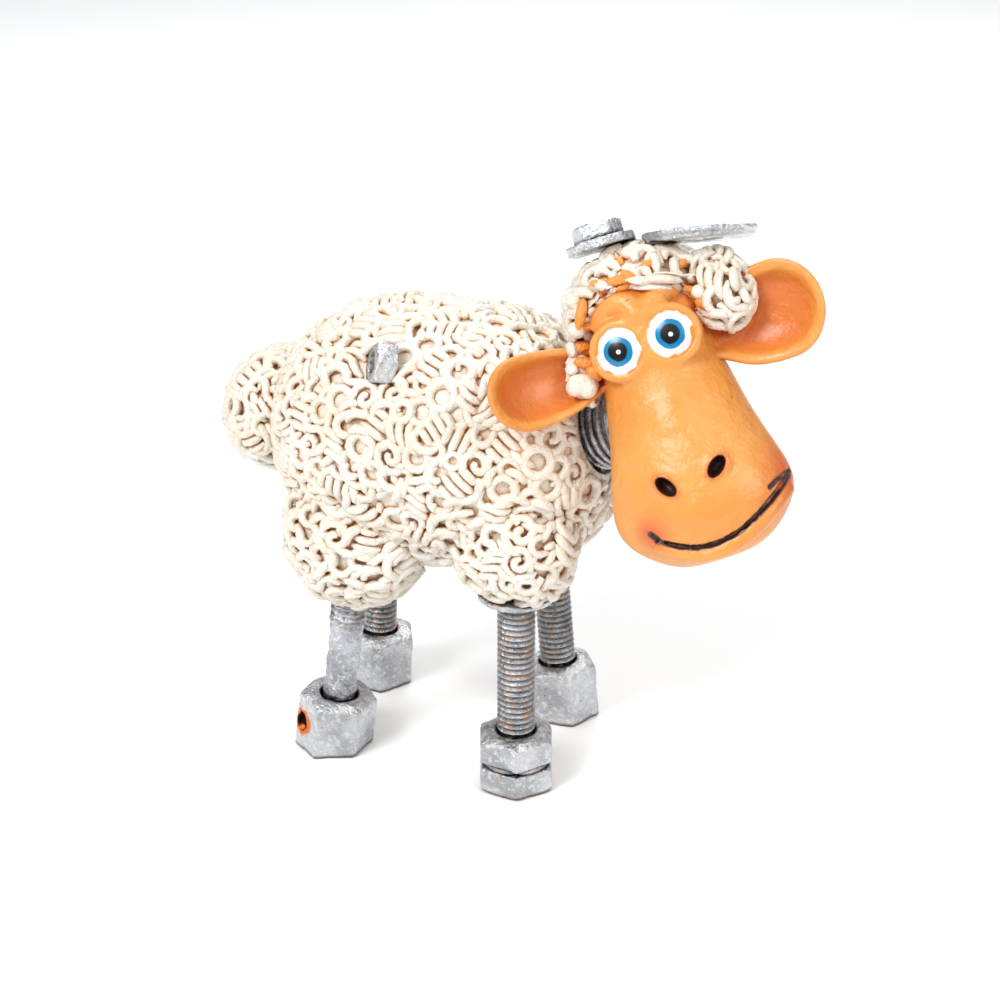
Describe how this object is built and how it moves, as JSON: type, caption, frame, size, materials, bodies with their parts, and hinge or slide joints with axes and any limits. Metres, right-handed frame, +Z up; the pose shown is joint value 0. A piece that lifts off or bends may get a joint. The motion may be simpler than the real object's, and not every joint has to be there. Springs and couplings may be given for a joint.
{
  "type": "sheep figurine",
  "caption": "Painted sheep figurine with threaded-rod legs, nut hooves, curled wool and an orange face on a coil-spring neck that wobbles.",
  "frame": {"origin": "centre of the box round the figurine, on the surface it stands on", "axes": "+X the way the body faces, -Y its right side, which the head looks over, +Z up"},
  "size_m": [0.1281, 0.063, 0.1244],
  "materials": {
    "wool_resin": "ivory painted resin with a brown wash in the hollows",
    "face_resin": "satin orange paint on resin",
    "eye_resin": "gloss white with a painted blue iris and black pupil",
    "silver_hardware": "silver paint, worn, with dark and ochre stains",
    "spring_wire": "dull steel wire",
    "seat_metal": "dull steel"
  },
  "bodies": {
    "torso": {"fleece_body": "wool_resin", "tail_tuft": "wool_resin", "side_nut": "silver_hardware", "front_right_leg_wool": "wool_resin", "front_left_leg_wool": "wool_resin", "rear_right_leg_wool": "wool_resin", "rear_left_leg_wool": "wool_resin", "front_right_rod": "silver_hardware", "front_left_rod": "silver_hardware", "rear_right_rod": "silver_hardware", "rear_left_rod": "silver_hardware", "front_right_washer": "silver_hardware", "front_right_nut": "silver_hardware", "front_right_lock_washer": "silver_hardware", "front_right_bolt_head": "silver_hardware", "front_left_hoof": "silver_hardware", "rear_right_hoof": "silver_hardware", "rear_left_hoof": "silver_hardware"},
    "seat": {"spring_seat": "seat_metal"},
    "spring": {"neck_spring": "spring_wire"},
    "head": {"head": "face_resin", "spring_plug": "seat_metal", "right_ear": "face_resin", "left_ear": "face_resin", "right_eye": "eye_resin", "left_eye": "eye_resin", "wool_cap": "wool_resin", "cheek_tuft": "wool_resin", "side_tuft": "wool_resin", "crown_washer": "silver_hardware", "crown_flange": "silver_hardware", "crown_bolt": "silver_hardware"}
  },
  "joints": [
    {"name": "head_turn", "type": "hinge", "parent": "torso", "child": "seat", "pos_m": [0.018, 0.0005, 0.0783], "axis": [0.8685, -0.3509, 0.3502], "range_deg": [-12, 12], "stiffness_Nm_per_rad": 0.5, "deforming": ["neck_spring"]},
    {"name": "head_nod", "type": "hinge", "parent": "seat", "child": "spring", "pos_m": [0.02299, -0.00152, 0.08031], "axis": [0.3746, 0.9272, 0], "range_deg": [-6, 12], "stiffness_Nm_per_rad": 0.6, "deforming": ["neck_spring"]},
    {"name": "head_sway", "type": "hinge", "parent": "spring", "child": "head", "pos_m": [0.02299, -0.00152, 0.08031], "axis": [-0.3247, 0.1312, 0.9367], "range_deg": [-6, 12], "stiffness_Nm_per_rad": 0.6, "deforming": ["neck_spring"]}
  ]
}
